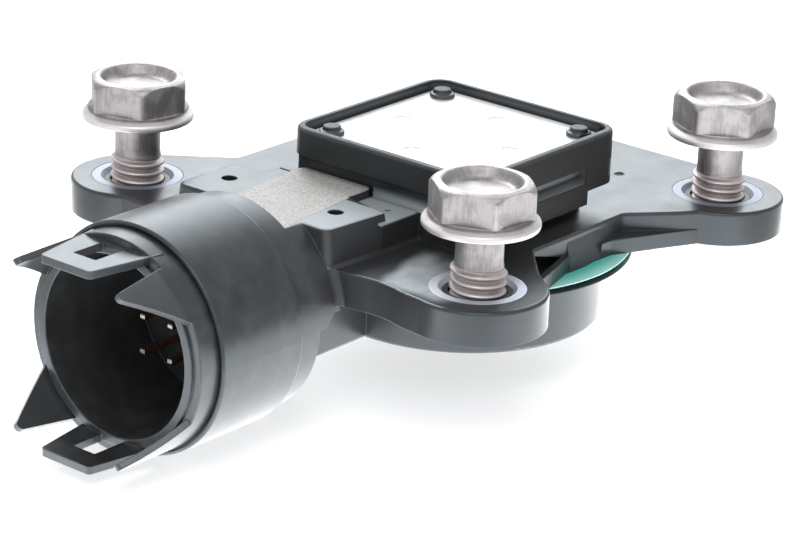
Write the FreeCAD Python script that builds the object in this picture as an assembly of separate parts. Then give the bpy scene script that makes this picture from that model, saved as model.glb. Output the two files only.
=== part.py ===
import FreeCAD, Part
import math
import os
from FreeCAD import Vector

# Eccentric shaft angle sensor for an engine's variable valve lift.
# Millimetres. The origin is on the spigot's axis in the plane of the ears' undersides, +Z points
# away from the engine, and the round connector points along -Y.

# mounting plate and ears
plate_thick = 3.76
ear_r = 7.36
front_ear_x, front_ear_y = 17.8, -19.85
right_ear_x, right_ear_y = 18.55, 22.5
left_ear_x, left_ear_y = -30.3, -19.65
plate_front_y = -25.9
plate_right_x = 15.4
plate_back_y = 29.0
plate_left_x = -26.6
skirt_high = 1.7
skirt_start = 18.55
plate_corner_cut = 20.6
skirt_out = 0.9
web_thick = 0.6
pocket_floor_z, pocket_top_z = 0.5, 3.0
pocket_deep = 1.1
gusset_top_z = 3.5
gusset_length, gusset_fade = 5.3, 5.0
mark_x, mark_y = 7.3, 19.46
mark_r, mark_deep = 0.5, 0.08
edge_round = 0.35

# box that holds the circuit board
box_x, box_y = 0.33, -2.1
box_side = 25.8
box_corner_r = 2.6
box_front_corner_r = 0.6
box_top_z = 12.75
box_wall = 0.85
rim_bottom_z = 9.7
rim_step = 1.6
side_step = 2.3
side_step_z = 6.75
side_step_end = 2.55
apron_low_z = 5.2
apron_back_y = 5.0
board_seat_z = 6.5
cavity_floor_z = 3.5
cavity_ledge = 2.8
board_ledge = 1.2
cavity_front_wall = 1.1
slot_deep = 1.0
slot_top_z = 9.5
slot_low_z = 7.6
slot_slope_high = 0.9
slot_length = 14.6
slot_y = -2.8
slot_corner_r = 0.9

# cover plate and its melted posts
cover_thick = 0.9
cover_below_rim = 0.97
cover_gap = 0.45
post_offset = 9.5
post_r = 1.0
post_head_r = 1.4
post_head_high = 0.45
post_tip_high = 0.92
post_clearance = 0.1
dimple_r = 1.0
dimple_deep = 0.12
dimple_offset = 7.4
dot_r = 0.22
dot_deep = 0.15
dot_offset = 8.3

# circuit board and what is soldered to it
board_thick = 1.2
board_clearance = 0.15
chip_side, chip_high, chip_pitch = 5.0, 1.75, 8.0
capacitor_long, capacitor_wide, capacitor_high = 2.0, 1.25, 1.0
capacitor_pitch = 4.5

# pad between the box and the connector
pad_top_z = 7.91
pad_left_x, pad_right_x = -17.4, 3.55
pad_right_slant = 0.7
pad_front_y, pad_back_y = -27.1, -18.5
pad_draft = 0.5
pad_corner_r, pad_edge_r = 1.0, 0.25
pad_foot = 0.3
pad_hole_r, pad_hole_deep = 0.85, 2.0
pad_hole_inset, pad_hole_from_front = 3.0, 5.0
shelf_drop = 1.0
shelf_right_x = 4.65
shelf_hole_r, shelf_hole_deep = 0.38, 0.8
shelf_hole_inset, shelf_hole_from_wall = 2.45, 2.15
groove_wide, groove_deep = 0.3, 0.4
chin_left_x, chin_right_x = -12.9, -0.2
chin_front_y = -29.6
beam_half = 6.65
beam_low_z = -8.2
beam_into_spigot = 4.0
pad_back_slant = 1.15
bridge_half = 4.85
bridge_corner_r = 0.9
shelf_left_x = -14.9

# connector barrel, along Y
barrel_x, barrel_z = -6.51, -1.82
barrel_r = 12.4
barrel_front_y, barrel_rear_y = -44.79, -32.87
neck_r = 11.78
neck_rear_y = -26.4
neck_fillet = 0.9
neck_low_z, neck_low_front_z = -0.5, -1.9
crown_outer_r, crown_inner_r = 11.75, 9.7
crown_front_y = -47.7
crown_step_r, crown_step = 10.7, 0.33
socket_floor_y = -33.6
face_groove_wide, face_groove_deep = 0.22, 0.4
barrel_round = 0.3

# teeth and tabs of the crown
tooth_tip_angle, tooth_tip_y = 53.0, -55.3
tooth_low_angle, tooth_high_angle = 28.5, 58.5
tooth_thick = 0.7
tooth_tip_r = 0.55
tab_inner, tab_thick = 9.95, 0.85
tab_front_y = -54.5
tab_front_wide, tab_root_wide = 6.8, 9.9
tab_window_wide = 3.05
tab_window_front_y, tab_window_rear_y = -51.8, -47.65

# terminals
pin_side = 0.64
pin_tip_y = -41.5
pin_pitch = 3.85
pin_row_up = 0.95
pin_tip_taper = 0.2
leg_first_y, leg_pitch = -11.6, 1.3
leg_above_board = 0.8
leg_hole_clearance = 0.05

# spigot and seal
spigot_r = 15.94
spigot_low_z = -8.2
spigot_round = 0.5
recess_r, recess_top_z = 10.5, 2.2
mouth_r, mouth_top_z = 13.8, -5.6
collar_wall = 0.46
seal_body_wide = 1.0
seal_step_wide = 0.5
collar_rim_wide = 1.05
seal_lip_inset = 0.1
seal_lip_thick = 0.15
seal_body_below_lip = 0.25
collar_below_seal = 0.34
collar_rim_thick = 0.12
collar_cone_high = 0.74
seal_body_in_r = spigot_r + collar_wall
seal_body_out_r = seal_body_in_r + seal_body_wide
seal_step_r = seal_body_out_r + seal_step_wide
collar_r = seal_step_r + collar_rim_wide
seal_lip_r = collar_r - seal_lip_inset
seal_deep = seal_lip_thick + seal_body_below_lip
collar_top_z = -seal_deep - collar_below_seal
collar_low_z = collar_top_z - collar_rim_thick
collar_cone_z = collar_low_z - collar_cone_high

# metal sleeves in the ears
sleeve_r = 5.06
sleeve_bore_r = 3.6
sleeve_chamfer = 0.45

# bolt retainers in the sleeves
retainer_below_top = 0.4
retainer_high = 2.2
retainer_clearance = 0.08
lug_reach, lug_wide, lug_high = 0.4, 1.5, 0.9
lug_angle = 40.0

# flange bolts, shown lifted off their seats
thread_r = 2.97
shank_r = 2.5
bolt_length = 12.0
bolt_lift = 6.74
thread_length = 7.9
point_chamfer = 0.7
flange_r = 6.14
flange_rim = 0.6
flange_cone_r, flange_cone_high = 5.2, 1.25
hex_flats = 10.0
head_high = 4.84
head_rim_r, head_dish_r = 4.5, 4.1
head_dish_deep, head_dish_slant = 1.2, 0.6
front_hex_turn, right_hex_turn, left_hex_turn = -37.4, -27.5, -42.0

EARS = {
    "front": (front_ear_x, front_ear_y, front_hex_turn),
    "right": (right_ear_x, right_ear_y, right_hex_turn),
    "left": (left_ear_x, left_ear_y, left_hex_turn),
}
UP = Vector(0, 0, 1)
REAR = Vector(0, 1, 0)


# outline with rounded corners, each corner given as (u, v, radius)
def outline(corners, place):
    arcs = {}
    ends = []
    count = len(corners)
    for i, (u, v, r) in enumerate(corners):
        here = Vector(u, v, 0)
        before = Vector(*corners[i - 1][:2], 0) - here
        after = Vector(*corners[(i + 1) % count][:2], 0) - here
        before.normalize()
        after.normalize()
        if r <= 0:
            ends.append((here, here))
            continue
        half = before.getAngle(after) / 2
        reach = r / math.tan(half)
        middle = before + after
        middle.normalize()
        crest = here + middle * (r / math.sin(half) - r)
        start, end = here + before * reach, here + after * reach
        arc = Part.Arc(place(start.x, start.y), place(crest.x, crest.y), place(end.x, end.y))
        arcs[i] = arc.toShape()
        ends.append((start, end))
    chain = []
    for i in range(count):
        if i in arcs:
            chain.append(arcs[i])
        start, end = ends[i][1], ends[(i + 1) % count][0]
        if start.distanceToPoint(end) > 1e-6:
            chain.append(Part.LineSegment(place(start.x, start.y), place(end.x, end.y)).toShape())
    return Part.Wire(chain)


# upright prism over an outline in XY
def slab(corners, low, high):
    wire = outline(corners, lambda x, y: Vector(x, y, low))
    return Part.Face(wire).extrude(Vector(0, 0, high - low))


def block(x0, x1, y0, y1, z0, z1):
    return Part.makeBox(x1 - x0, y1 - y0, z1 - z0, Vector(x0, y0, z0))


def rectangle(x0, x1, y0, y1, r):
    return [(x0, y0, r), (x1, y0, r), (x1, y1, r), (x0, y1, r)]


def square(side, r):
    half = side / 2
    return rectangle(box_x - half, box_x + half, box_y - half, box_y + half, r)


# turned solid about a vertical axis through (x, y), from corners (radius, height, rounding)
def turned(corners, x=0.0, y=0.0):
    wire = outline(corners, lambda r, z: Vector(x + r, y, z))
    return Part.Face(wire).revolve(Vector(x, y, 0), UP, 360)


# turned solid about the connector's axis, from corners (radius, y, rounding)
def barrel_turned(corners):
    wire = outline(corners, lambda r, y: Vector(barrel_x + r, y, barrel_z))
    return Part.Face(wire).revolve(Vector(barrel_x, 0, barrel_z), REAR, 360)


# edges that lie flat at one height
def edges_at(shape, z):
    boxes = [(edge, edge.BoundBox) for edge in shape.Edges]
    return [edge for edge, box in boxes if abs(box.ZMin - z) < 1e-4 and abs(box.ZMax - z) < 1e-4]


# plate with its three ears, and the skirt and web along its right side
def make_plate():
    fx, fy = front_ear_x, front_ear_y
    rx, ry = right_ear_x, right_ear_y
    lx, ly = left_ear_x, left_ear_y
    side = ear_r * math.sqrt(0.5)
    corners = [
        (lx, plate_front_y, 0),
        (barrel_x + neck_r + neck_fillet, neck_rear_y, 0),
        (fx - ear_r + 0.2, plate_front_y, 8.0),
        (fx - 4.4, fy - ear_r + 0.5, 12.0),
        (fx - 1.6, fy - ear_r + 0.2, 0),
        (fx, fy, 0),
        (fx + 4.6, fy + 5.8, 0),
        (fx + 2.2, fy + 7.6, 2.0),
        (plate_right_x, fy + 12.6, 0.8),
        (plate_right_x, ry - 13.6, 1.5),
        (rx + 1.05, ry - 8.8, 2.0),
        (rx + 2.4, ry - 6.9, 0),
        (rx, ry, 0),
        (rx, plate_back_y + 0.2, 0),
        (rx - 5.0, plate_back_y, 4.0),
        (plate_left_x + plate_corner_cut, plate_back_y, 4.0),
        (plate_left_x, plate_back_y - 19.0, 4.0),
        (plate_left_x, ly + 12.4, 1.5),
        (lx - side, ly + side, 0),
        (lx, ly, 0),
    ]
    plate = slab(corners, 0, plate_thick)
    for x, y, turn in EARS.values():
        plate = plate.fuse(Part.makeCylinder(ear_r, plate_thick, Vector(x, y, 0)))
    plate = plate.removeSplitter()
    plate = plate.makeFillet(edge_round, edges_at(plate, plate_thick))
    skirt_x = plate_right_x + skirt_out
    start_y = fy + skirt_start
    fade_y = start_y + gusset_length
    skirt = slab([
        (plate_right_x - 3, fade_y, 0),
        (skirt_x - 0.1, fade_y, 0),
        (skirt_x, ry - 16.8, 1.5),
        (rx + 0.4, ry - 11.0, 3.0),
        (rx + 2.3, ry - 7.1, 0),
        (plate_right_x - 3, ry - 7.1, 0),
    ], 0, skirt_high)
    web = slab([
        (plate_right_x - 2, start_y, 0),
        (skirt_x - 0.35, start_y, 0),
        (fx + 1.3, fy + ear_r - 0.2, 0),
        (fx, fy, 0),
        (plate_right_x - 2, fy + 9, 0),
    ], 0, skirt_high)
    edge_x = plate_right_x - 0.1
    pocket = slab([
        (edge_x, start_y - web_thick, 0.1),
        (edge_x, fy + 12.2, 0),
        (fx - 0.35, fy + 10.3, 0.1),
    ], pocket_floor_z, skirt_high + 1)
    mouth = [
        (start_y - web_thick, pocket_floor_z, 0.1), (start_y - web_thick, skirt_high - 0.15, 0.1),
        (fy + 12.6, pocket_top_z, 0.1), (fy + 12.6, pocket_floor_z, 0.1),
    ]
    wire = outline(mouth, lambda y, z: Vector(edge_x - pocket_deep, y, z))
    undercut = Part.Face(wire).extrude(Vector(pocket_deep + 0.2, 0, 0))

    # beside the web the skirt's side runs up to the plate's edge as a gusset, which fades out
    # toward the right ear
    def side_section(y, reach):
        corner_x = plate_right_x - 0.1
        points = [(corner_x, 0), (corner_x + reach, 0), (corner_x, gusset_top_z), (corner_x, 0)]
        return Part.makePolygon([Vector(x, y, z) for x, z in points])

    gusset = Part.makeLoft([
        side_section(start_y, skirt_out - 0.2), side_section(fade_y, skirt_out + 0.05),
        side_section(fade_y + gusset_fade, 0.1),
    ], True, True)
    mark = Part.makeCylinder(mark_r, 1, Vector(mark_x, mark_y, plate_thick - mark_deep))
    return plate.fuse([skirt, web.cut(pocket), gusset]).cut(undercut).cut(mark)


# open box with an overhanging rim, stepped walls and a slot along its right side
def make_box():
    half = box_side / 2
    left, right = box_x - half, box_x + half
    front, back = box_y - half, box_y + half
    rim = slab(square(box_side, box_corner_r), rim_bottom_z, box_top_z)
    rim = rim.makeFillet(0.45, edges_at(rim, box_top_z))

    def walls(right_x, back_y, r):
        corners = rectangle(left, right_x, front + rim_step, back_y, r)
        return [(x, y, box_front_corner_r) for x, y, _ in corners[:2]] + corners[2:]

    middle = slab(walls(right, back, box_corner_r), side_step_z, rim_bottom_z)
    lower = slab(walls(right - side_step, back - side_step_end, 2.0), 0, side_step_z)
    box = rim.fuse([middle, lower])
    apron_front_y = front + rim_step + box_front_corner_r
    apron = block(right - side_step - 1, right, apron_front_y, apron_back_y, apron_low_z, side_step_z)
    mouth = rectangle(slot_y - slot_length / 2, slot_y + slot_length / 2, slot_low_z, slot_top_z, 0.2)
    mouth[2] = (*mouth[2][:2], slot_corner_r)
    wire = outline(mouth, lambda y, z: Vector(right - slot_deep, y, z))
    slot = Part.Face(wire).extrude(Vector(slot_deep + 1, 0, 0))
    inner = right - slot_deep - 0.1
    slope = [(inner, slot_low_z - 0.1, 0), (right, slot_low_z - 0.1, 0), (right, slot_low_z, 0),
             (inner, slot_low_z + slot_slope_high, 0)]
    wire = outline(slope, lambda x, z: Vector(x, slot_y - slot_length / 2 - 0.1, z))
    slope = Part.Face(wire).extrude(Vector(0, slot_length + 0.2, 0))
    return box.fuse(apron).cut(slot).fuse(slope)


# hollow of the box: the cover's recess, the board's space, the room under the board
def make_cavity():
    cover_top = box_top_z - cover_below_rim
    cover_low = cover_top - cover_thick
    recess = slab(square(box_side - 2 * box_wall, box_corner_r - box_wall), cover_low, box_top_z + 1)
    upper = box_side / 2 - box_wall - cavity_ledge
    front = box_y - box_side / 2 + rim_step + cavity_front_wall
    space = slab(rectangle(box_x - upper, box_x + upper, front, box_y + upper, 2.5), board_seat_z, cover_low)
    inner = upper - board_ledge
    room_front = leg_first_y + 2 * leg_pitch + 1.0
    room = slab(rectangle(box_x - inner, box_x + inner, room_front, box_y + inner, 2.0),
                cavity_floor_z, board_seat_z)
    return recess.fuse([space, room])


def post_places():
    return [(box_x + i * post_offset, box_y + j * post_offset) for i in (-1, 1) for j in (-1, 1)]


# one melted post: shaft through the cover, wide lower head and small tip
def make_post(x, y):
    cover_top = box_top_z - cover_below_rim
    cover_low = cover_top - cover_thick
    return turned([
        (0, cover_low - 0.5, 0), (post_r, cover_low - 0.5, 0), (post_r, cover_top, 0),
        (post_head_r, cover_top, 0), (post_head_r, cover_top + post_head_high, 0.2),
        (post_r, cover_top + post_head_high, 0.15), (post_r, cover_top + post_tip_high, 0.2),
        (0, cover_top + post_tip_high, 0),
    ], x, y)


# raised pad with two lobes, the shelf behind it and the chin that carries the barrel
def make_pad():
    low = plate_thick - 0.5
    bridge_left_x, bridge_right_x = barrel_x - bridge_half, barrel_x + bridge_half

    def level(grow, z):
        front_y, inner_y, outer_y = pad_front_y - grow / 4, pad_back_y + pad_back_slant, pad_back_y + grow
        corners = [
            (pad_left_x - grow, front_y, pad_corner_r), (pad_right_x + grow, front_y, pad_corner_r),
            (pad_right_x + pad_right_slant + grow, outer_y, pad_edge_r),
            (bridge_right_x, inner_y, 0), (bridge_left_x, inner_y, 0),
            (pad_left_x - grow, outer_y, pad_corner_r),
        ]
        return outline(corners, lambda x, y: Vector(x, y, z))

    pad = Part.makeLoft([level(pad_draft, low), level(0, pad_top_z)], True)
    pad = pad.makeFillet(edge_round, edges_at(pad, pad_top_z))
    foot_z = plate_thick - 0.01
    foot = Part.makeLoft([level(pad_draft + pad_foot, foot_z), level(pad_draft, foot_z + pad_foot)], True)
    wall_y = box_y - box_side / 2 + rim_step
    shelf_z = pad_top_z - shelf_drop
    shelf = block(shelf_left_x, shelf_right_x, pad_back_y - 1, wall_y + 0.5, low, shelf_z)
    side = [(shelf_right_x - 1, foot_z, 0), (shelf_right_x + pad_foot, foot_z, 0),
            (shelf_right_x, foot_z + pad_foot, 0), (shelf_right_x - 1, foot_z + pad_foot, 0)]
    wire = outline(side, lambda x, z: Vector(x, pad_back_y - 0.5, z))
    shelf_foot = Part.Face(wire).extrude(Vector(0, wall_y + 1 - pad_back_y, 0))
    bridge = slab([
        (bridge_left_x, pad_back_y, 0), (bridge_right_x, pad_back_y, 0),
        (bridge_right_x, wall_y - 0.1, bridge_corner_r), (bridge_left_x, wall_y - 0.1, bridge_corner_r),
    ], low, pad_top_z)
    chin = block(chin_left_x, chin_right_x, chin_front_y, pad_front_y + 1, low, pad_top_z)
    groove = block(shelf_left_x, shelf_right_x, wall_y - groove_wide, wall_y, shelf_z - groove_deep, shelf_z)
    bridge_low = slab(rectangle(bridge_left_x, bridge_right_x, wall_y - 1.5, wall_y + 0.5, 0), low, shelf_z)
    pad = pad.fuse([foot, shelf.cut(groove), shelf_foot, bridge, bridge_low, chin])
    hole_y, hole_z = pad_front_y + pad_hole_from_front, pad_top_z - pad_hole_deep
    for x in (pad_left_x + pad_hole_inset, pad_right_x - pad_hole_inset):
        pad = pad.cut(Part.makeCylinder(pad_hole_r, pad_hole_deep + 1, Vector(x, hole_y, hole_z)))
    hole = Vector(shelf_right_x - shelf_hole_inset, wall_y - shelf_hole_from_wall, shelf_z - shelf_hole_deep)
    return pad.cut(Part.makeCylinder(shelf_hole_r, shelf_hole_deep + 1, hole))


# barrel, neck and crown tube of the connector as one turned body
def make_barrel():
    step_y = crown_front_y + crown_step
    return barrel_turned([
        (0, socket_floor_y, 0),
        (crown_inner_r, socket_floor_y, 0),
        (crown_inner_r, crown_front_y, 0.15),
        (crown_step_r, crown_front_y, 0.1),
        (crown_step_r, step_y, 0),
        (crown_outer_r, step_y, 0.15),
        (crown_outer_r, barrel_front_y + face_groove_deep, 0),
        (crown_outer_r + face_groove_wide, barrel_front_y + face_groove_deep, 0),
        (crown_outer_r + face_groove_wide, barrel_front_y, 0.05),
        (barrel_r, barrel_front_y, barrel_round),
        (barrel_r, barrel_rear_y, barrel_round),
        (neck_r, barrel_rear_y, 0),
        (neck_r, chin_front_y, 0),
        (0, chin_front_y, 0),
    ])


# rear stretch of the neck, cut level with the pad's top and sloped below, with a fillet at the plate's front
def make_neck():
    front_y, reach = chin_front_y - 0.5, neck_r + 2
    corners = [(0, front_y, 0), (neck_r, front_y, 0), (neck_r, neck_rear_y, 0), (0, neck_rear_y, 0)]
    neck = barrel_turned(corners)
    side = [
        (front_y, neck_low_front_z, 0), (chin_front_y + 1, neck_low_front_z, 0.6),
        (neck_rear_y - 0.9, neck_low_z, 0.8), (neck_rear_y, neck_low_z, 0),
        (neck_rear_y, pad_top_z, 0), (front_y, pad_top_z, 0),
    ]
    wire = outline(side, lambda y, z: Vector(barrel_x - reach, y, z))
    kept = Part.Face(wire).extrude(Vector(2 * reach, 0, 0))
    fillet = barrel_turned([
        (neck_r - 1, neck_rear_y - 1, 0), (neck_r, neck_rear_y - 1, 0), (neck_r, neck_rear_y, neck_fillet),
        (neck_r + 1, neck_rear_y, 0), (neck_r + 1, neck_rear_y + 0.2, 0), (neck_r - 1, neck_rear_y + 0.2, 0),
    ])
    beside = block(barrel_x, barrel_x + reach, front_y, neck_rear_y, 0, plate_thick)
    return neck.common(kept).fuse(fillet.common(beside))


# one tooth: a thin shell cut to a leaning triangle, low and high edges at their own angles
def make_tooth(mirror_x, mirror_z):
    middle = math.radians((tooth_low_angle + tooth_high_angle) / 2)
    outward = Vector(mirror_x * math.cos(middle), 0, mirror_z * math.sin(middle))
    along = Vector(-mirror_x * math.sin(middle), 0, mirror_z * math.cos(middle))
    centre = Vector(barrel_x, 0, barrel_z)

    def place(u, y):
        return centre + outward * (crown_inner_r - 4) + along * u + Vector(0, y, 0)

    def across(angle):
        return crown_outer_r * math.sin(math.radians(angle) - middle)

    root_y = barrel_front_y - 1
    low, high, tip = across(tooth_low_angle), across(tooth_high_angle), across(tooth_tip_angle)
    lean = (root_y - crown_front_y) / (tooth_tip_y - crown_front_y)
    low_root = low + (tip - low) * lean
    high_root = high + (tip - high) * lean
    wire = outline([(low_root, root_y, 0), (high_root, root_y, 0), (tip, tooth_tip_y, tooth_tip_r)], place)
    wedge = Part.Face(wire).extrude(outward * 8)
    shell = barrel_turned([
        (crown_outer_r - tooth_thick, root_y, 0), (crown_outer_r, root_y, 0),
        (crown_outer_r, tooth_tip_y - 1, 0), (crown_outer_r - tooth_thick, tooth_tip_y - 1, 0),
    ])
    return wedge.common(shell)


# one flat latch tab with a window, above or below the socket
def make_tab(side):
    front, root = tab_front_wide / 2, tab_root_wide / 2
    corners = [
        (barrel_x - root, barrel_front_y - 1, 0), (barrel_x - front, tab_front_y, 0.5),
        (barrel_x + front, tab_front_y, 0.5), (barrel_x + root, barrel_front_y - 1, 0),
    ]
    half = tab_window_wide / 2
    window = rectangle(barrel_x - half, barrel_x + half, tab_window_front_y, tab_window_rear_y, 0.15)
    low = barrel_z + tab_inner if side > 0 else barrel_z - tab_inner - tab_thick
    return slab(corners, low, low + tab_thick).cut(slab(window, low - 1, low + tab_thick + 1))


# spigot with its collar, as a turned body, before it is hollowed
def make_spigot():
    return turned([
        (0, spigot_low_z, 0), (spigot_r, spigot_low_z, spigot_round), (spigot_r, collar_cone_z, 0),
        (collar_r, collar_low_z, 0.05), (collar_r, collar_top_z, 0.05), (seal_step_r, collar_top_z, 0),
        (seal_step_r, -seal_lip_thick, 0), (seal_body_out_r, -seal_lip_thick, 0),
        (seal_body_out_r, -seal_deep, 0), (seal_body_in_r, -seal_deep, 0), (seal_body_in_r, 0, 0), (0, 0, 0),
    ])


# socket pins, each a run in the moulding and a leg up through the board
def terminal_routes():
    top = barrel_z + pin_row_up + pin_pitch
    left, right = barrel_x - pin_pitch / 2, barrel_x + pin_pitch / 2
    routes = [(left, top - i * pin_pitch, leg_first_y + i * leg_pitch) for i in range(3)]
    routes += [(right, top - i * pin_pitch, leg_first_y + (i - 1) * leg_pitch) for i in (1, 2)]
    return routes


def make_terminal(x, z, leg_y):
    half = pin_side / 2
    top = board_seat_z + board_thick + leg_above_board
    side = [
        (pin_tip_y, z + half, pin_tip_taper), (pin_tip_y, z - half, pin_tip_taper),
        (leg_y + half, z - half, pin_side), (leg_y + half, top, 0.1), (leg_y - half, top, 0.1),
        (leg_y - half, z + half, 0.15),
    ]
    wire = outline(side, lambda y, height: Vector(x - half, y, height))
    return Part.Face(wire).extrude(Vector(pin_side, 0, 0))


# the whole moulding: plate, box, pad, barrel, beam and spigot, hollowed and drilled
def make_housing(terminals, seal):
    beam_back_y = beam_into_spigot - spigot_r
    left, right = barrel_x - beam_half, barrel_x + beam_half
    beam = block(left, right, chin_front_y, beam_back_y, beam_low_z, plate_thick)
    beam = beam.makeFillet(0.6, edges_at(beam, beam_low_z))
    body = make_plate().fuse([make_box(), make_pad(), beam, make_barrel(), make_neck(), make_spigot()])
    teeth = [make_tooth(i, k) for i in (-1, 1) for k in (-1, 1)]
    body = body.fuse(teeth + [make_tab(side) for side in (-1, 1)])
    body = body.cut(make_cavity())
    body = body.fuse([make_post(x, y) for x, y in post_places()])
    bore = turned([
        (0, spigot_low_z - 1, 0), (mouth_r, spigot_low_z - 1, 0), (mouth_r, mouth_top_z, 0.3),
        (recess_r, mouth_top_z, 0), (recess_r, recess_top_z, 0.4), (0, recess_top_z, 0),
    ])
    body = body.cut(bore)
    for x, y, turn in EARS.values():
        body = body.cut(Part.makeCylinder(sleeve_r, plate_thick + 2, Vector(x, y, -1)))
    for inlay in terminals + [seal]:
        body = body.cut(inlay)
    return body.removeSplitter()


# flat cover plate with post holes, shallow dimples and small dots
def make_cover():
    cover_top = box_top_z - cover_below_rim
    side = box_side - 2 * box_wall - 2 * cover_gap
    cover = slab(square(side, box_corner_r - box_wall - cover_gap), cover_top - cover_thick, cover_top)
    for x, y in post_places():
        cover = cover.cut(Part.makeCylinder(post_r + post_clearance, 3, Vector(x, y, cover_top - 2)))
    marks = []
    for quarter in range(4):
        angle = math.radians(90 * quarter)
        x, y = box_x + dimple_offset * math.cos(angle), box_y + dimple_offset * math.sin(angle)
        marks.append(Part.makeCylinder(dimple_r, 1, Vector(x, y, cover_top - dimple_deep)))
        for shift in (-4, 4):
            turn = angle + math.radians(45 + shift)
            x, y = box_x + dot_offset * math.cos(turn), box_y + dot_offset * math.sin(turn)
            marks.append(Part.makeCylinder(dot_r, 1, Vector(x, y, cover_top - dot_deep)))
    return cover.cut(Part.makeCompound(marks))


# circuit board on the ledge, drilled for the terminals' legs
def make_board():
    reach = box_side / 2 - box_wall - cavity_ledge - board_clearance
    front = box_y - box_side / 2 + rim_step + cavity_front_wall + board_clearance
    board = slab(rectangle(box_x - reach, box_x + reach, front, box_y + reach, 2.0),
                 board_seat_z, board_seat_z + board_thick)
    hole_r = pin_side * math.sqrt(0.5) + leg_hole_clearance
    for x, z, leg_y in terminal_routes():
        board = board.cut(Part.makeCylinder(hole_r, board_thick + 2, Vector(x, leg_y, board_seat_z - 1)))
    return board


# sensing chips under the board, over the spigot's hollow, and the capacitors on top
def make_chip(side):
    half = chip_side / 2
    x = side * chip_pitch / 2
    body = block(x - half, x + half, -half, half, board_seat_z - chip_high, board_seat_z)
    return body.makeChamfer(0.25, edges_at(body, board_seat_z - chip_high))


def make_capacitor(side):
    x, y = box_x + side * capacitor_pitch / 2, box_y + 5.5
    low = board_seat_z + board_thick
    wide, long = capacitor_wide / 2, capacitor_long / 2
    return block(x - wide, x + wide, y - long, y + long, low, low + capacitor_high)


# two lugs that key a retainer in its sleeve
def make_lugs(x, y):
    top = plate_thick - retainer_below_top
    reach = sleeve_bore_r + lug_reach
    bar = block(-reach, reach, -lug_wide / 2, lug_wide / 2, top - lug_high, top)
    bar.rotate(Vector(0, 0, 0), UP, lug_angle)
    bar.translate(Vector(x, y, 0))
    return bar


def make_sleeve(x, y):
    sleeve = turned([
        (sleeve_bore_r, 0, 0), (sleeve_r, 0, 0), (sleeve_r, plate_thick, 0.08),
        (sleeve_bore_r + sleeve_chamfer, plate_thick, 0), (sleeve_bore_r, plate_thick - sleeve_chamfer, 0),
    ], x, y)
    return sleeve.cut(make_lugs(x, y))


def make_retainer(x, y):
    top = plate_thick - retainer_below_top
    low = top - retainer_high
    ring = Part.makeCylinder(sleeve_bore_r, retainer_high, Vector(x, y, low)).fuse(make_lugs(x, y))
    bore = Part.makeCylinder(thread_r + retainer_clearance, retainer_high + 2, Vector(x, y, low - 1))
    return ring.cut(bore).removeSplitter()


# flange bolt: dished six-sided head, round flange, plain shank, thread's outer cylinder
def make_bolt(x, y, turn):
    seat = plate_thick + bolt_lift
    top = seat + head_high
    tip = seat - bolt_length
    shank_end = tip + thread_length
    corner_r = hex_flats / math.sqrt(3)
    corners = []
    for i in range(6):
        angle = math.radians(turn + 60 * i)
        corners.append((x + corner_r * math.cos(angle), y + corner_r * math.sin(angle), 0.15))
    head = slab(corners, seat + flange_rim / 2, top)
    crown = turned([
        (0, seat, 0), (corner_r + 1, seat, 0),
        (corner_r + 1, top - 2.4, 0), (corner_r - 0.05, top - 0.9, 0.5),
        (hex_flats / 2 + 0.3, top - 0.25, 0.4),
        (head_rim_r, top, 0.2), (head_dish_r, top, 0.15),
        (head_dish_r - head_dish_slant, top - head_dish_deep, 0.4), (0, top - head_dish_deep, 0),
    ], x, y)
    flange = turned([
        (0, tip, 0), (thread_r - point_chamfer, tip, 0), (thread_r, tip + point_chamfer, 0),
        (thread_r, shank_end, 0), (shank_r, shank_end + 0.3, 0), (shank_r, seat, 0),
        (flange_r, seat, 0.2), (flange_r, seat + flange_rim, 0.2),
        (flange_cone_r, seat + flange_cone_high, 0.4),
        (hex_flats / 2 - 0.6, seat + flange_cone_high + 0.4, 0), (0, seat + flange_cone_high + 0.4, 0),
    ], x, y)
    return head.common(crown).fuse(flange).removeSplitter()


# green seal: a body in the collar's groove and a thin lip over the collar
def make_seal():
    return turned([
        (seal_body_in_r, -seal_deep, 0), (seal_body_out_r, -seal_deep, 0),
        (seal_body_out_r, -seal_lip_thick, 0), (seal_lip_r, -seal_lip_thick, 0.06),
        (seal_lip_r, 0, 0.06), (seal_body_in_r, 0, 0),
    ])


def build():
    terminals = [make_terminal(*route) for route in terminal_routes()]
    seal = make_seal()
    pieces = {
        "housing": make_housing(terminals, seal),
        "cover_plate": make_cover(),
        "circuit_board": make_board(),
        "sensor_chip_a": make_chip(-1),
        "sensor_chip_b": make_chip(1),
        "capacitor_a": make_capacitor(-1),
        "capacitor_b": make_capacitor(1),
        "seal_ring": seal,
    }
    for number, terminal in enumerate(terminals, 1):
        pieces[f"terminal_{number}"] = terminal
    for name, (x, y, turn) in EARS.items():
        pieces[f"sleeve_{name}"] = make_sleeve(x, y)
        pieces[f"bolt_retainer_{name}"] = make_retainer(x, y)
        pieces[f"bolt_{name}"] = make_bolt(x, y, turn)
    return pieces


os.makedirs("parts", exist_ok=True)
for node, shape in build().items():
    if shape.ShapeType == "Compound" and len(shape.Solids) == 1:
        shape = shape.Solids[0]
    print(node, len(shape.Solids), shape.isValid(), round(shape.Volume, 2))
    shape.exportStep(f"parts/{node}.step")
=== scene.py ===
import bpy
import numpy as np
from mathutils import Matrix, Vector


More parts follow.
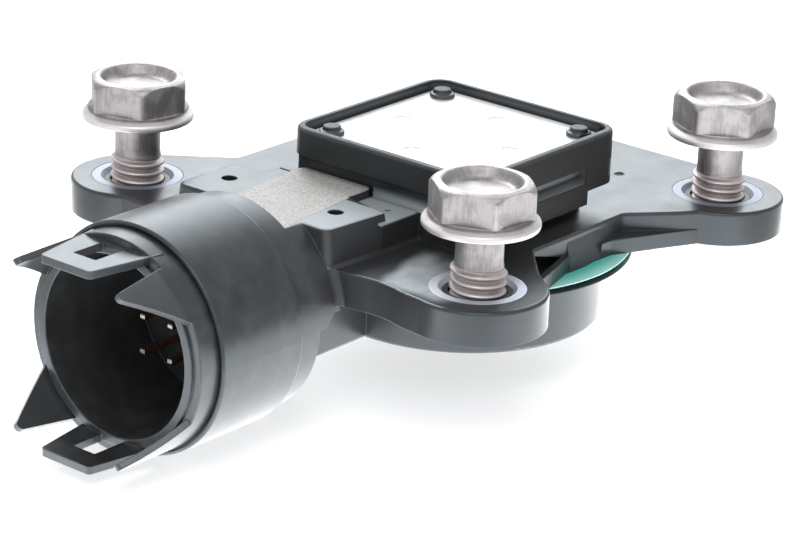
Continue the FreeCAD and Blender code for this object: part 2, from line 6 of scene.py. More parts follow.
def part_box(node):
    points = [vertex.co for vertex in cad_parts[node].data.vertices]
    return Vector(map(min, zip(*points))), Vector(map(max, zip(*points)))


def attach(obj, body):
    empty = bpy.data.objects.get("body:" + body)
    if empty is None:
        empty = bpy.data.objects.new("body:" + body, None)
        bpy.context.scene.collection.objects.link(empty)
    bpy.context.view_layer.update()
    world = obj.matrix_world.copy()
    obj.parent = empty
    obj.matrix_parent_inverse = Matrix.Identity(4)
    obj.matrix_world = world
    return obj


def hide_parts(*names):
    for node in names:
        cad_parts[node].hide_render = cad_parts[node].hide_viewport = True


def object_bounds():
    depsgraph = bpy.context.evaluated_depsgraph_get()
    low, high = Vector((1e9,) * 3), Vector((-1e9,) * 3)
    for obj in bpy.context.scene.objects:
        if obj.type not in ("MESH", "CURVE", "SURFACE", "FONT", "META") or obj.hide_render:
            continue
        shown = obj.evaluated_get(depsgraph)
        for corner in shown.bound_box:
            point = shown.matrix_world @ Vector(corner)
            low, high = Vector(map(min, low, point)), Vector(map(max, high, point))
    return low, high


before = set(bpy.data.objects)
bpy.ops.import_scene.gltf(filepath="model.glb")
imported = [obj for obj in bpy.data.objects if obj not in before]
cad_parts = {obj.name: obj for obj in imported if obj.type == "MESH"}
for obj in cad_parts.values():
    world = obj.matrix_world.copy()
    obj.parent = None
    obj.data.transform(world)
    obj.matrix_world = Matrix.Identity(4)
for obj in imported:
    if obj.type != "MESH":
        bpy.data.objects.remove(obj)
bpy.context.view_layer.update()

MM = 0.001


# The housing is one black moulding of glass-filled nylon: plate, ears, board box, pad, barrel and spigot.
# It is satin and mottled where the melt has flowed, and every corner has the tool's small rounding. It has a
# blasted field on the pad, painted shade as a darker, duller copy on the box's sides, and painted light as a
# grey veil on the shelf, the right lobe and the ear.
class Wire:
    """A value at every point of a surface. It wraps a node's output, so a + b or 1 - a adds the Math node."""

    def __init__(self, tree, socket=None):
        self.tree, self.socket = tree, socket

    def node(self, kind, settings=None, inputs=None, output=0):
        """Adds a node: its settings first, then the values or links of its sockets; gives one output."""
        made = self.tree.nodes.new(kind)
        for key, value in (settings or {}).items():
            setattr(made, key, value)
        for key, value in (inputs or {}).items():
            if isinstance(value, Wire):
                self.tree.links.new(value.socket, made.inputs[key])
            else:
                made.inputs[key].default_value = value
        return Wire(self.tree, made.outputs[output])

    def math(self, operation, *others):
        """Adds a Math node that works on this value and the others."""
        values = dict(enumerate((self,) + others))
        return self.node("ShaderNodeMath", {"operation": operation}, values)

    def __add__(self, other):
        return self.math("ADD", other)

    def __mul__(self, other):
        return self.math("MULTIPLY", other)

    def __sub__(self, other):
        return self.math("SUBTRACT", other)

    def __rsub__(self, other):
        return self.node("ShaderNodeMath", {"operation": "SUBTRACT"}, {0: other, 1: self})

    __radd__, __rmul__ = __add__, __mul__

    def above(self, low, high):
        """0 below low, 1 above high, and a smooth step between."""
        return self.node("ShaderNodeMapRange", {"interpolation_type": "SMOOTHSTEP"},
                         {"Value": self, "From Min": low, "From Max": high})

    def between(self, low, high, soft):
        """1 from low to high, 0 outside, and a smooth step of width soft beyond each end."""
        return self.above(low - soft, low) * (1 - self.above(high, high + soft))

    def blend(self, low, high):
        """Colour low where this value is 0, colour high where it is 1."""
        return self.node("ShaderNodeMix", {"data_type": "RGBA"},
                         {"Factor": self, 6: low, 7: high}, output=2)


def finish(name, **constants):
    """A new material, its Object coordinates in millimetres, and its shader with these constants set."""
    made = bpy.data.materials.new(name)
    made.use_nodes = True
    shader = made.node_tree.nodes["Principled BSDF"]
    for key, value in constants.items():
        shader.inputs[key.replace("_", " ")].default_value = value
    place = Wire(made.node_tree).node("ShaderNodeTexCoord", output=3)
    place = place.node("ShaderNodeVectorMath", {"operation": "SCALE"}, {0: place, "Scale": 1 / MM})
    return made, place, shader


def split(place):
    """The three coordinates of a place, x, y and z."""
    return [place.node("ShaderNodeSeparateXYZ", None, {0: place}, axis) for axis in range(3)]


def feed(node, **wires):
    """Links each value to the node's socket of that name."""
    for key, wire in wires.items():
        wire.tree.links.new(wire.socket, node.inputs[key.replace("_", " ")])


def noise(place, scale, detail=3.0, rough=0.5):
    """Smooth random value near 0.5, with features about 1/scale millimetres wide."""
    return place.node("ShaderNodeTexNoise", None,
                      {"Vector": place, "Scale": scale, "Detail": detail, "Roughness": rough})


def rounded(place, radius, height=None, strength=0.3, distance=0.02):
    """Normal of edges rounded by a radius in millimetres, with a bump of the given height value on top."""
    bevel = place.node("ShaderNodeBevel", {"samples": 8}, {"Radius": radius * MM})
    if height is None:
        return bevel
    return place.node("ShaderNodeBump", None,
                      {"Strength": strength, "Distance": distance * MM, "Height": height, "Normal": bevel})


def away_from(x, y, centre):
    """Distance in millimetres from the upright line through a centre: the root of the two squares' sum."""
    across, along = x - float(centre[0]), y - float(centre[1])
    return (across * across + along * along).math("SQRT")


def dress(node, material):
    """Gives a CAD node this one material."""
    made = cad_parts[node]
    made.data.materials.clear()
    made.data.materials.append(material)


BLACK, BLACK_WORN = (0.029, 0.0295, 0.030, 1), (0.040, 0.0405, 0.042, 1)
BLACK_SHADED, COOL_GLOSS, PAINTED_LIGHT_GREY = (0.012, 0.012, 0.012, 1), (0.78, 0.90, 1.0, 1), (0.60, 0.66, 0.70, 1)
SAND, SAND_DARK = (0.69, 0.675, 0.655, 1), (0.44, 0.43, 0.415, 1)
PLATE_TOP, PAD_TOP, PAD_BACK = 3.76, 7.91, -18.5
SHELF_TOP = PAD_TOP - 1.0
BOX_X, BOX_Y, BOX_HALF, BOX_WALL, BOX_TOP = 0.33, -2.1, 12.9, 0.85, 12.75
RIM_FRONT, RIM_RIGHT = BOX_Y - BOX_HALF, BOX_X + BOX_HALF
RIM_STEP, SIDE_STEP = 1.6, 2.3
WALL_FRONT, WALL_RIGHT = RIM_FRONT + RIM_STEP, RIM_RIGHT - SIDE_STEP
SLOT_DEEP, SLOT_LOW, SLOT_HIGH = 1.0, 7.6, 9.45
WELL_LOW, WELL_HIGH = 10.8, 12.3
GATE = (7.3, 19.46)
SAND_LEFT_FRONT, SAND_LEFT_BACK = -10.05, -11.5
SAND_RIGHT_FRONT, SAND_RIGHT_BACK = -0.15, -1.75
SAND_FRONT, SAND_BACK = -29.4, -13.6
SOFT = 0.1
# Each pair below is where a mask begins to rise or fall and where it has done so, in millimetres. The ragged
# edges of the ear's painted light and of the gate mark are moved by the noise.
LOBE_LEFT, LOBE_BACK = (-0.1, 0.2), (PAD_BACK, PAD_BACK + 0.2)
LOBE_FRONT = (SAND_FRONT + 0.5, SAND_FRONT + 3.5)
SHELF_LEFT, SHELF_LOW, SHELF_HIGH = (-1.7, -1.6), (SHELF_TOP - 0.3, SHELF_TOP - 0.1), (6.95, 7.0)
SHELF_FRONT, WALL_FOOT = (PAD_BACK - 1.2, PAD_BACK - 1.0), (7.1, 8.4)
EAR_LEFT, EAR_RIGHT, EAR_FRONT, EAR_BACK = (1.8, 3.6), (16.5, 19.0), (-26.8, -25.0), (-20.5, -15.5)
EAR_SLANT, EAR_RAGGED_LEFT, EAR_RAGGED_BACK = 0.25, 1.6, 3.0
GATE_R, GATE_RAGGED = (0.95, 1.35), 1.2
CROWN_ROOT, CROWN_LOW, TAB_LOW, BARREL_REAR = (-48.4, -47.9), (-11.6, -11.2), (8.85, 8.95), (-30.0, -28.0)
SHADE_FRONT_LOW, SHADE_TOP = (8.4, 9.0), (BOX_TOP - 0.5, BOX_TOP - 0.2)
# How strong the painted light, the pale veils and the dust are on each place, and how rough each surface is.
SHELF_PAINTED_LIGHT, FOOT_PAINTED_REFLECTION, LOBE_PAINTED_HIGHLIGHT, EAR_PAINTED_LIGHT, EAR_PAINTED_LIGHT_MOTTLE = 0.8, 0.9, 0.6, 0.3, 0.9
DUST_GREY, WELL_PALE, SLOT_PALE, CROWN_PAINTED_LIGHT, TAB_PAINTED_LIGHT, BARREL_PALE_MOTTLE = 0.12, 0.06, 0.08, 0.05, 0.08, 0.035
SATIN_ROUGH, FLOW_ROUGH, BLOTCH_ROUGH, GRAIN_ROUGH = 0.15, 0.14, 0.14, 0.06
SAND_ROUGH, PAINTED_LIGHT_ROUGH, RIM_ROUGH, GATE_ROUGH, SHADED_ROUGH = 0.4, 0.25, 0.2, 0.5, 0.5
SATIN_IOR, SHADED_IOR, FRONT_SHADE_SHARE = 1.54, 1.25, 0.5
CORNER_ROUND, SAND_GRIT = 0.16, 6.0

moulding, place, shader = finish("satin_moulding", IOR=SATIN_IOR, Specular_Tint=COOL_GLOSS)
x, y, z = split(place)
flow, blotch, grain = noise(place, 0.12, 4.0), noise(place, 0.45, 4.0), noise(place, 9.0)
speckle = noise(place, 6.0, 2.0).above(0.36, 0.62)
dust = noise(place, 1.3, 2.0, 0.8).above(0.74, 0.80)

# The blasted field on the pad is a four-sided patch with slanted long edges.
along = (y - SAND_FRONT) * (1 / (SAND_BACK - SAND_FRONT))
right_edge = along * (SAND_RIGHT_BACK - SAND_RIGHT_FRONT) + SAND_RIGHT_FRONT
left_edge = along * (SAND_LEFT_BACK - SAND_LEFT_FRONT) + SAND_LEFT_FRONT
on_pad = z.between(PAD_TOP - 0.08, PAD_TOP + 0.08, 0.04)
sand = on_pad
for inside in (x - left_edge, right_edge - x, y - SAND_FRONT, SAND_BACK - y):
    sand = sand * inside.above(-SOFT, SOFT)

# Painted light: a grey veil painted on the faces that look paler than the lamps alone make them, as a painted
# highlight on the right lobe, painted light on the shelf, the front ear, the crown and the tab's top, and a
# painted reflection at the wall's foot. Elsewhere it is thin: a paler well, slot and barrel, and random dust.
lobe = on_pad * (x - right_edge).above(*LOBE_LEFT) * y.above(*LOBE_FRONT) * (1 - y.above(*LOBE_BACK))
beside = x.above(*SHELF_LEFT) * z.above(*SHELF_LOW)
at_wall = y.above(WALL_FRONT - 0.05, WALL_FRONT)
shelf = beside * y.above(*SHELF_FRONT) * (1 - at_wall) * (1 - z.above(*SHELF_HIGH))
wall_foot = beside * at_wall * (1 - y.above(WALL_FRONT + SOFT, WALL_FRONT + 2 * SOFT))
wall_foot = wall_foot * (1 - z.above(*WALL_FOOT))
ear = z.between(PLATE_TOP - SOFT / 2, PLATE_TOP + SOFT / 2, SOFT) * (1 - x.above(*EAR_RIGHT))
ear = ear * (x + y * EAR_SLANT - blotch * EAR_RAGGED_LEFT).above(*EAR_LEFT)
ear = ear * y.above(*EAR_FRONT) * (1 - (y - blotch * EAR_RAGGED_BACK).above(*EAR_BACK))
inner = BOX_HALF - BOX_WALL + SOFT / 2
well = x.between(BOX_X - inner, BOX_X + inner, SOFT) * y.between(BOX_Y - inner, BOX_Y + inner, SOFT)
well = well * z.between(WELL_LOW, WELL_HIGH, 2 * SOFT)
slot = x.between(RIM_RIGHT - SLOT_DEEP - SOFT, RIM_RIGHT - SOFT, SOFT / 2)
slot = slot * z.between(SLOT_LOW, SLOT_HIGH, SOFT)
crown = (1 - y.above(*CROWN_ROOT)) * z.above(*CROWN_LOW)
tab = crown * z.above(*TAB_LOW)
barrel = (1 - y.above(*BARREL_REAR)) * (1 - crown) * blotch.above(0.35, 0.75)
# Painted light: the grey veil summed here stands in for light on the shelf, wall foot, lobe, ear, crown and
# tab.
painted_light_and_dust = shelf * SHELF_PAINTED_LIGHT + wall_foot * FOOT_PAINTED_REFLECTION + lobe * LOBE_PAINTED_HIGHLIGHT
painted_light_and_dust = painted_light_and_dust + ear * (blotch * EAR_PAINTED_LIGHT_MOTTLE + EAR_PAINTED_LIGHT) + dust * DUST_GREY + well * WELL_PALE
painted_light_and_dust = painted_light_and_dust + slot * SLOT_PALE + crown * CROWN_PAINTED_LIGHT + tab * TAB_PAINTED_LIGHT + barrel * BARREL_PALE_MOTTLE

# The gate mark is a rough spot where the melt came in, and the top of the box's rim is a little duller.
gate = away_from(x, y, GATE) + noise(place, 2.0) * GATE_RAGGED
gate = (1 - gate.above(*GATE_R)) * z.above(PLATE_TOP - 0.26, PLATE_TOP - 0.16)
rim_top = z.above(BOX_TOP - 2 * SOFT, BOX_TOP - SOFT)
# The painted light's grey veil is mixed into the base colour here.
colour = painted_light_and_dust.blend(flow.above(0.35, 0.7).blend(BLACK, BLACK_WORN), PAINTED_LIGHT_GREY)
feed(shader, Base_Color=sand.blend(colour, speckle.blend(SAND_DARK, SAND)),
     Roughness=flow * FLOW_ROUGH + blotch * BLOTCH_ROUGH + grain * GRAIN_ROUGH + SATIN_ROUGH
     + sand * SAND_ROUGH + painted_light_and_dust * PAINTED_LIGHT_ROUGH + rim_top * RIM_ROUGH + gate * GATE_ROUGH,
     Normal=rounded(place, CORNER_ROUND, grain + sand * speckle * SAND_GRIT, strength=0.12, distance=0.02))

# Painted shade: the box's right and front walls take a second shader, a darker and duller copy of the moulding
# mixed in by place, which mirrors much less than the satin one.
shaded_copy = place.node("ShaderNodeBsdfPrincipled", None,
                    {"Base Color": BLACK_SHADED, "Roughness": SHADED_ROUGH, "IOR": SHADED_IOR})
# Painted shade: these masks put the darker copy of the moulding on the box's right and front walls.
side = x.between(WALL_RIGHT - 0.13, RIM_RIGHT + 0.02, SOFT) * z.above(PLATE_TOP + 0.09, PLATE_TOP + 0.24)
front = y.between(RIM_FRONT - SOFT, WALL_FRONT + SOFT / 2, SOFT) * z.above(*SHADE_FRONT_LOW)
painted_shade = (side * (1 - slot) + front * FRONT_SHADE_SHARE) * (1 - z.above(*SHADE_TOP))
both = place.node("ShaderNodeMixShader", None, {0: painted_shade, 1: Wire(place.tree, shader.outputs[0]), 2: shaded_copy})
feed(place.tree.nodes["Material Output"], Surface=both)
dress("housing", moulding)


# The cover plate is a stamped sheet of pale tinned steel, held by the four melted posts of the box.
# It mirrors the room softly and has faint stamped dimples and dots.
TIN, TIN_BRIGHT = (0.86, 0.87, 0.88, 1), (0.95, 0.955, 0.96, 1)
tinned, place, shader = finish("tinned_cover", Metallic=0.35)
streak = noise(place, 0.8, 5.0)
feed(shader, Base_Color=streak.blend(TIN, TIN_BRIGHT), Roughness=streak * 0.15 + 0.25,
     Normal=rounded(place, 0.08, streak, strength=0.1, distance=0.01))
dress("cover_plate", tinned)


# The circuit board is green glass fibre laminate with black moulded chips and tan ceramic capacitors.
# It lies on the ledge of the box, under the cover, and the terminals are soldered through it.
GREEN, GREEN_PALE = (0.015, 0.09, 0.04, 1), (0.03, 0.15, 0.07, 1)
EPOXY, EPOXY_DUSTY = (0.012, 0.012, 0.013, 1), (0.03, 0.03, 0.03, 1)
CERAMIC, CERAMIC_PALE = (0.30, 0.22, 0.14, 1), (0.45, 0.34, 0.22, 1)
laminate, place, shader = finish("green_laminate")
weave = noise(place, 3.0)
feed(shader, Base_Color=weave.blend(GREEN, GREEN_PALE), Roughness=weave * 0.1 + 0.35)
dress("circuit_board", laminate)
epoxy, place, shader = finish("chip_epoxy")
dust = noise(place, 6.0)
feed(shader, Base_Color=dust.blend(EPOXY, EPOXY_DUSTY), Roughness=dust * 0.2 + 0.5)
ceramic, place, shader = finish("capacitor_ceramic")
dust = noise(place, 6.0)
feed(shader, Base_Color=dust.blend(CERAMIC, CERAMIC_PALE), Roughness=dust * 0.2 + 0.4)
for letter in "ab":
    dress(f"sensor_chip_{letter}", epoxy)
    dress(f"capacitor_{letter}", ceramic)


# The terminals are square copper-alloy wire, bent once and moulded in; five tips stand in the socket.
# The tips are tinned grey, and the flanks carry a thin warm tarnish.
COPPER, COPPER_WORN, TIP_TIN = (0.55, 0.26, 0.19, 1), (0.72, 0.38, 0.28, 1), (0.30, 0.26, 0.24, 1)
TIP_REAR = (-41.4, -40.9)
copper, place, shader = finish("terminal_copper", Metallic=1.0)
tarnish = noise(place, 1.5)
tip = 1 - split(place)[1].above(*TIP_REAR)
feed(shader, Base_Color=tip.blend(tarnish.blend(COPPER, COPPER_WORN), TIP_TIN),
     Roughness=tarnish * 0.2 + 0.2, Normal=rounded(place, 0.08))
for number in range(1, 6):
    dress(f"terminal_{number}", copper)


# The seal is a green fluoro-rubber ring in the collar's groove, with a thin lip over the collar.
# The lip is satin, and its colour is painted lighter toward its rim and darker toward the plate: painted light
# and painted shade.
SEAL, SEAL_RIM_PAINTED_LIGHT, SEAL_PAINTED_LIGHT_R = (0.10, 0.66, 0.54, 1), (0.56, 0.99, 0.92, 1), (16.6, 19.2)
rubber, place, shader = finish("green_seal", IOR=1.45)
x, y = split(place)[:2]
# Painted light and shade: the colour grows lighter with the radius, toward the lip's rim.
feed(shader, Base_Color=away_from(x, y, (0, 0)).above(*SEAL_PAINTED_LIGHT_R).blend(SEAL, SEAL_RIM_PAINTED_LIGHT),
     Roughness=noise(place, 0.6) * 0.2 + 0.3,
     Normal=rounded(place, 0.08, noise(place, 7.0), strength=0.1, distance=0.02))
dress("seal_ring", rubber)


# The sleeves are turned steel bushes pressed into the ears, so that the bolts do not crush the plastic.
# Their cut faces are bright and bluish, with faint turning marks, and the front one is painted paler: a
# painted reflection.
# Black plastic rings in the sleeves grip the bolts, so that none is lost before the sensor is fitted.
TURNED, TURNED_BRIGHT, TURNED_PAINTED_LIGHT = (0.24, 0.258, 0.312, 1), (0.31, 0.332, 0.39, 1), (0.62, 0.655, 0.73, 1)
FRONT_LIGHT_LEFT, FRONT_LIGHT_BACK = (10.0, 12.0), (-12.0, -10.0)
RING_BLACK, RING_WORN = (0.008, 0.008, 0.009, 1), (0.016, 0.016, 0.018, 1)
EARS = ("front", "right", "left")
bush, place, shader = finish("turned_bush", Metallic=0.6)
x, y = split(place)[:2]
lathe = noise(place, 3.0)
# Painted reflection: the front sleeve's faces are painted paler by place.
front_painted_light = x.above(*FRONT_LIGHT_LEFT) * (1 - y.above(*FRONT_LIGHT_BACK))
feed(shader, Base_Color=front_painted_light.blend(lathe.blend(TURNED, TURNED_BRIGHT), TURNED_PAINTED_LIGHT),
     Roughness=lathe * 0.2 + 0.4, Normal=rounded(place, 0.1, lathe, strength=0.1, distance=0.01))
ring, place, shader = finish("retainer_plastic")
grain = noise(place, 5.0)
feed(shader, Base_Color=grain.blend(RING_BLACK, RING_WORN), Roughness=grain * 0.2 + 0.35,
     Normal=rounded(place, 0.08))
for ear in EARS:
    dress(f"sleeve_{ear}", bush)
    dress(f"bolt_retainer_{ear}", ring)


# The bolts are cold-headed M6 flange bolts of zinc-plated steel, kept in the ears by the retainers.
# Each has a dished six-sided head, a round flange, a plain shank and a rolled thread of 1 mm pitch.
HEX_TURN = {"front": -37.4, "right": -27.5, "left": -42.0}
HEX_HALF, HEX_SHARPNESS, HEX_FOOT, HEAD_HIGH = 5.0, 30.0, 1.35, 4.84
CHAMFER_IN_R, CHAMFER_OUT_R, CORNER_R = HEX_HALF + 0.3, HEX_HALF + 0.78, HEX_HALF + 0.9
CHAMFER_IN_DROP, CHAMFER_OUT_DROP = 0.3, 1.1
FLANGE_R, FLANGE_RIM, FLANGE_CONE_R, FLANGE_CONE = 6.12, 0.62, 5.25, 1.25
RIM_R, DISH_R, DISH_FLOOR_R, DISH_DEEP, DISH_LIP = 4.5, 4.12, 3.5, 1.2, 0.1
SHANK_R, THREAD_R, ROOT_R, PITCH, BOLT_LONG, THREAD_LONG = 2.5, 2.96, 2.42, 1.0, 12.0, 8.0
THREAD_LEAD, RUN_OUT, TIP_TAPER, TIP_STEP, CREST, FLANK = 0.5, 0.6, 0.8, 0.2, 1.25, 2.6
AROUND, ROW_STEP, CURVE_POINTS = 168, 0.09, 7


def turned_profile(corners, step):
    """Points along a polyline of (radius, height, rounding) corners. Each corner is cut by a quadratic curve:
    (1 - t)^2 of its start, 2 t (1 - t) of the corner and t^2 of its end. The path is then spaced evenly."""
    points = np.array([c[:2] for c in corners], float)
    sizes = np.array([c[2] for c in corners], float)
    legs = []
    for i, here in enumerate(points):
        if i in (0, len(points) - 1) or sizes[i] == 0:
            legs.append(here[None])
            continue
        before, after = points[i - 1] - here, points[i + 1] - here
        start_at = here + before / np.linalg.norm(before) * min(sizes[i], np.linalg.norm(before) / 2)
        end_at = here + after / np.linalg.norm(after) * min(sizes[i], np.linalg.norm(after) / 2)
        t = np.linspace(0, 1, CURVE_POINTS)[:, None]
        legs.append((1 - t) ** 2 * start_at + 2 * t * (1 - t) * here + t ** 2 * end_at)
    path = np.concatenate(legs)
    length = np.concatenate([[0], np.cumsum(np.linalg.norm(np.diff(path, axis=0), axis=1))])
    count = int(length[-1] / step)
    even = np.union1d(length, np.linspace(0, length[-1], count))
    return np.interp(even, length, path[:, 0]), np.interp(even, length, path[:, 1])


def grid_mesh(name, points):
    """Closed mesh of a grid of points (rows, around, 3): each row is joined round to itself and to the next,
    and both end rows shrink to a pole."""
    rows, around = points.shape[:2]
    index = np.arange(rows * around).reshape(rows, around)
    a, b = index[:-1], index[1:]
    quads = np.stack([a, np.roll(a, -1, 1), np.roll(b, -1, 1), b], -1).reshape(-1, 4)
    mesh = bpy.data.meshes.new(name)
    mesh.from_pydata(points.reshape(-1, 3), [], quads.tolist())
    mesh.validate()
    made = bpy.data.objects.new(name, mesh)
    bpy.context.collection.objects.link(made)
    return made


def bolt_points(centre, seat, turn):
    """Radius and height follow the turned profile. In the head the radius is the lesser of the profile and a
    six-sided curve, the power mean of six flats; in the thread it swings between root and crest with height
    minus the share of a turn, which winds the ridge into a helix."""
    top, tip = seat + HEAD_HIGH, seat - BOLT_LONG
    radius, height = turned_profile([
        (0, top - DISH_DEEP, 0), (DISH_FLOOR_R, top - DISH_DEEP, 0.5),
        (DISH_R, top - DISH_LIP, 0.25), (RIM_R, top, 0.18),
        (CHAMFER_IN_R, top - CHAMFER_IN_DROP, 0.35), (CHAMFER_OUT_R, top - CHAMFER_OUT_DROP, 0.6),
        (CORNER_R, seat + HEX_FOOT, 0.3), (FLANGE_CONE_R, seat + FLANGE_CONE, 0.3),
        (FLANGE_R, seat + FLANGE_RIM, 0.22), (FLANGE_R, seat, 0.22), (SHANK_R, seat, 0.3),
        (SHANK_R, tip + THREAD_LONG, 0.2), (THREAD_R, tip + THREAD_LONG - THREAD_LEAD, 0.2),
        (THREAD_R, tip + TIP_TAPER, 0.2), (ROOT_R - TIP_STEP, tip, 0.2), (0, tip, 0)], ROW_STEP)
    angle = np.linspace(0, 2 * np.pi, AROUND, endpoint=False)
    flats = angle[:, None] - np.radians(turn + 30 + 60 * np.arange(6))[None]
    facing = np.maximum(np.cos(flats), 0) ** HEX_SHARPNESS
    six = HEX_HALF / facing.sum(1) ** (1 / HEX_SHARPNESS)
    r, z = np.broadcast_arrays(radius[:, None], height[:, None])
    head = (z > seat + FLANGE_CONE + 0.05) & (r > DISH_R)
    r = np.where(head, np.minimum(r, six[None]), r)
    wave = (z / PITCH + angle[None] / (2 * np.pi)) % 1.0
    ridge = np.clip(CREST - FLANK * np.abs(wave - 0.5), 0, 1)
    threaded = (z < tip + THREAD_LONG) & (z > tip)
    fade = np.clip((tip + THREAD_LONG - z) / RUN_OUT, 0, 1)
    shaped = np.minimum(r, ROOT_R + (r - ROOT_R) * ridge)
    r = np.where(threaded & (r > ROOT_R), shaped * fade + np.minimum(r, SHANK_R) * (1 - fade), r)
    x, y = centre[0] + r * np.cos(angle), centre[1] + r * np.sin(angle)
    return np.stack([x, y, z * np.ones_like(r)], -1) * MM


ZINC, ZINC_BRIGHT = (0.28, 0.268, 0.272, 1), (0.41, 0.388, 0.39, 1)
ZINC_WARM, ZINC_WORN_AND_HIGHLIT = (0.56, 0.47, 0.47, 1), (0.70, 0.67, 0.67, 1)
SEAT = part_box("bolt_front")[1][2] / MM - HEAD_HIGH
THREAD_TOP, SEAT_FACE, CONE_TOP = (SEAT - 4.4, SEAT - 4.0), (SEAT - 0.1, SEAT), (SEAT + 0.9, SEAT + 1.2)
HEX_LOW, HEX_CORNER_R = (SEAT + 1.3, SEAT + 1.4), (5.58, 5.7)
EDGE_LOW, FLANGE_EDGE_R = (SEAT + 0.2, SEAT + 0.5), (5.9, 6.05)
CREST_FROM, CREST_R = 2.0, (0.72, 0.9)
DRAWN = (4.0, 4.0, 0.5)
centres = {ear: (np.add(*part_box(f"bolt_{ear}")) / 2 / MM)[:2] for ear in EARS}
zinc, place, shader = finish("zinc_plate", Metallic=1.0)
x, y, z = split(place)
cloud, fine = noise(place, 0.5, 4.0), noise(place, 7.0)
grain = noise(place.node("ShaderNodeVectorMath", {"operation": "MULTIPLY"}, {0: place, 1: DRAWN}), 1.0, 2.0)
to_front, to_right, to_left = (away_from(x, y, centres[ear]) for ear in EARS)
reach = to_front.math("MINIMUM", to_right).math("MINIMUM", to_left)

# The zinc is warmer on the thread. It is paler on the hex corners and the flange's edge, partly rubbed wear
# and partly painted highlights, and on the flange, the thread's crests and the middle of the tip, painted
# highlights.
threaded = 1 - z.above(*THREAD_TOP)
flange = (1 - z.above(*CONE_TOP)) * z.above(*SEAT_FACE)
# Painted highlights, partly with real wear: pale hex corners, flange edge, flange, thread crests and tip
# middle.
worn_and_highlit = reach.above(*HEX_CORNER_R) * z.above(*HEX_LOW) + reach.above(*FLANGE_EDGE_R) * z.above(*EDGE_LOW)
worn_and_highlit = worn_and_highlit + (reach - CREST_FROM).math("ABSOLUTE").above(*CREST_R) * threaded
tint = (cloud * 0.7 + grain * 0.3).above(0.4, 0.6).blend(ZINC, ZINC_BRIGHT)
tint = (threaded * 0.5).blend(tint, ZINC_WARM)
tint = (flange * 0.45 + worn_and_highlit * 0.5).math("MINIMUM", 1.0).blend(tint, ZINC_WORN_AND_HIGHLIT)
feed(shader, Base_Color=tint, Roughness=cloud * 0.2 + fine * 0.1 + 0.36,
     Normal=rounded(place, 0.05, fine + grain * 0.7, strength=0.15, distance=0.012))
for ear in EARS:
    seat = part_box(f"bolt_{ear}")[1][2] / MM - HEAD_HIGH
    bolt = grid_mesh(f"flange_bolt_{ear}", bolt_points(centres[ear], seat, HEX_TURN[ear]))
    bolt.data.polygons.foreach_set("use_smooth", np.ones(len(bolt.data.polygons), bool))
    bolt.data.materials.append(zinc)
    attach(bolt, f"bolt_{ear}")
    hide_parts(f"bolt_{ear}")


# The floor and the world around it are plain and near white, so only soft light falls on the object.
# To the camera and in mirrors both look whiter than the light they give, and one side of the world mirrors
# darker, which gives the gloss its contrast.
FLOOR_HALF, PAPER = 3.0, (0.93, 0.93, 0.93, 1)
SEEN_GLOW, MIRRORED_GLOW, DARKNESS, WHITENESS = 0.6, 0.2, (0, 0, 0, 1), (1, 1, 1, 1)
AMBIENT, DARK_WAY, DARK_SPREAD, DARKER = 0.41, (0.68, 0.72, 0.10), (0.62, 0.96), 0.65
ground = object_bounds()[0][2]
mesh = bpy.data.meshes.new("floor")
mesh.from_pydata([(i * FLOOR_HALF, j * FLOOR_HALF, ground) for i, j in ((-1, -1), (1, -1), (1, 1), (-1, 1))],
                 [], [(0, 1, 2, 3)])
floor = bpy.data.objects.new("floor", mesh)
bpy.context.collection.objects.link(floor)
paper, place, shader = finish("white_paper", Base_Color=PAPER, Roughness=0.9, Emission_Strength=1.0)
seen = place.node("ShaderNodeLightPath", output=0)
mirrored = place.node("ShaderNodeLightPath", output=3)
feed(shader, Emission_Color=(seen * SEEN_GLOW + mirrored * MIRRORED_GLOW).blend(DARKNESS, WHITENESS))
floor.data.materials.append(paper)

world = bpy.data.worlds.new("studio")
bpy.context.scene.world = world
world.use_nodes = True
light = Wire(world.node_tree)
seen = light.node("ShaderNodeLightPath", output=0)
mirrored = light.node("ShaderNodeLightPath", output=3)
through = light.node("ShaderNodeLightPath", output=6)
heading = light.node("ShaderNodeTexCoord", output=0)
shade = light.node("ShaderNodeVectorMath", {"operation": "DOT_PRODUCT"}, {0: heading, 1: DARK_WAY}, output=1)
white = (seen + mirrored + through).math("MINIMUM", 1.0) - mirrored * shade.above(*DARK_SPREAD) * DARKER
backdrop = world.node_tree.nodes["Background"]
backdrop.inputs["Color"].default_value = WHITENESS
feed(backdrop, Strength=white * (1 - AMBIENT) + AMBIENT)


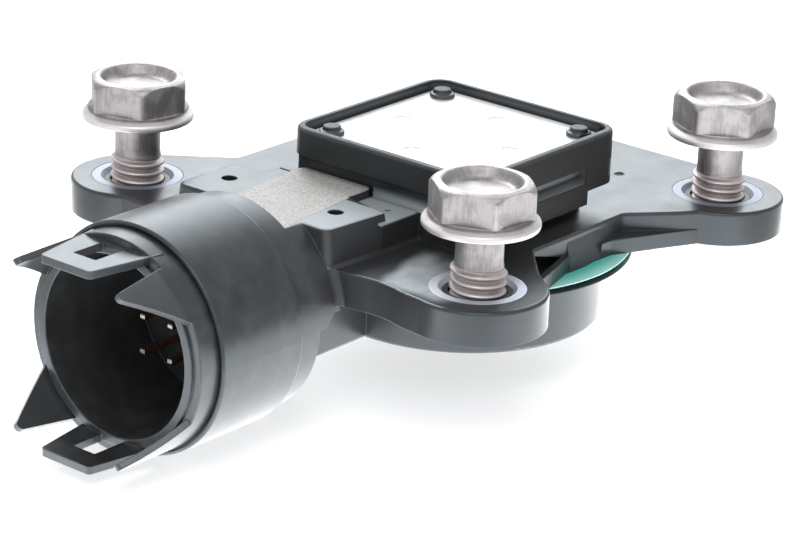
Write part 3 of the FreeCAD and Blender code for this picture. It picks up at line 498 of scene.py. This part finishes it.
# Of three soft boxes a large low one behind makes the long highlights on the tops and the barrel, a small one
# at the left throws the box's soft shadow over the front ear, and one over the camera fills the front faces.
# A small light panel on the floor under the object, as on a light table, fills the faces that look down.
def soft_box(name, at, size, watts, colour=(1, 1, 1)):
    """A rectangle of light, width by height, at a place in metres, that faces the object."""
    lamp = bpy.data.lights.new(name, "AREA")
    lamp.shape, lamp.size, lamp.size_y, lamp.energy, lamp.color = "RECTANGLE", size[0], size[1], watts, colour
    made = bpy.data.objects.new(name, lamp)
    bpy.context.collection.objects.link(made)
    made.location = at
    made.rotation_euler = (-Vector(at)).to_track_quat("-Z", "Y").to_euler()
    return made


soft_box("box_low", at=(-0.50, 0.71, 0.50), size=(0.72, 0.56), watts=5.0, colour=(0.91, 0.97, 1.0))
soft_box("box_left", at=(-0.635, 0.338, 0.695), size=(0.34, 0.34), watts=3.5)
soft_box("box_front", at=(0.45, -0.6, 1.0), size=(0.6, 0.6), watts=4.5)
PANEL_X, PANEL_Y, PANEL_TURN, PANEL_LIFT = 0.0007, -0.0072, -51.35, 0.0001
panel = soft_box("panel_below", at=(PANEL_X, PANEL_Y, ground + PANEL_LIFT), size=(0.13, 0.132), watts=0.15)
panel.rotation_euler = (np.pi, 0, np.radians(PANEL_TURN))
panel.visible_camera = False


# The camera stands where the photograph was taken from: low, from the front right, with a long lens.
# Its place, turn and lens were fitted on the bolts, the ears, the box and the barrel.
AIM = Vector((2.449, -13.423, 0)) * MM
AZIMUTH, ELEVATION, ROLL = np.radians((51.348, 20.750, 2.388))
DISTANCE, LENS = 0.329761, 139.42
back = Vector((np.cos(ELEVATION) * np.cos(AZIMUTH), -np.cos(ELEVATION) * np.sin(AZIMUTH), np.sin(ELEVATION)))
level = Vector((-back.y, back.x, 0)).normalized()
upright = back.cross(level)
right = level * np.cos(ROLL) + upright * np.sin(ROLL)
camera_data = bpy.data.cameras.new("camera")
camera_data.lens, camera_data.sensor_width = LENS, 36.0
camera_data.clip_start, camera_data.clip_end = 0.01, 20.0
camera = bpy.data.objects.new("camera", camera_data)
bpy.context.collection.objects.link(camera)
turn = Matrix((right, back.cross(right), back)).transposed().to_4x4()
camera.matrix_world = Matrix.Translation(AIM + back * DISTANCE) @ turn
bpy.context.scene.camera = camera
bpy.context.scene.view_settings.view_transform = "Standard"
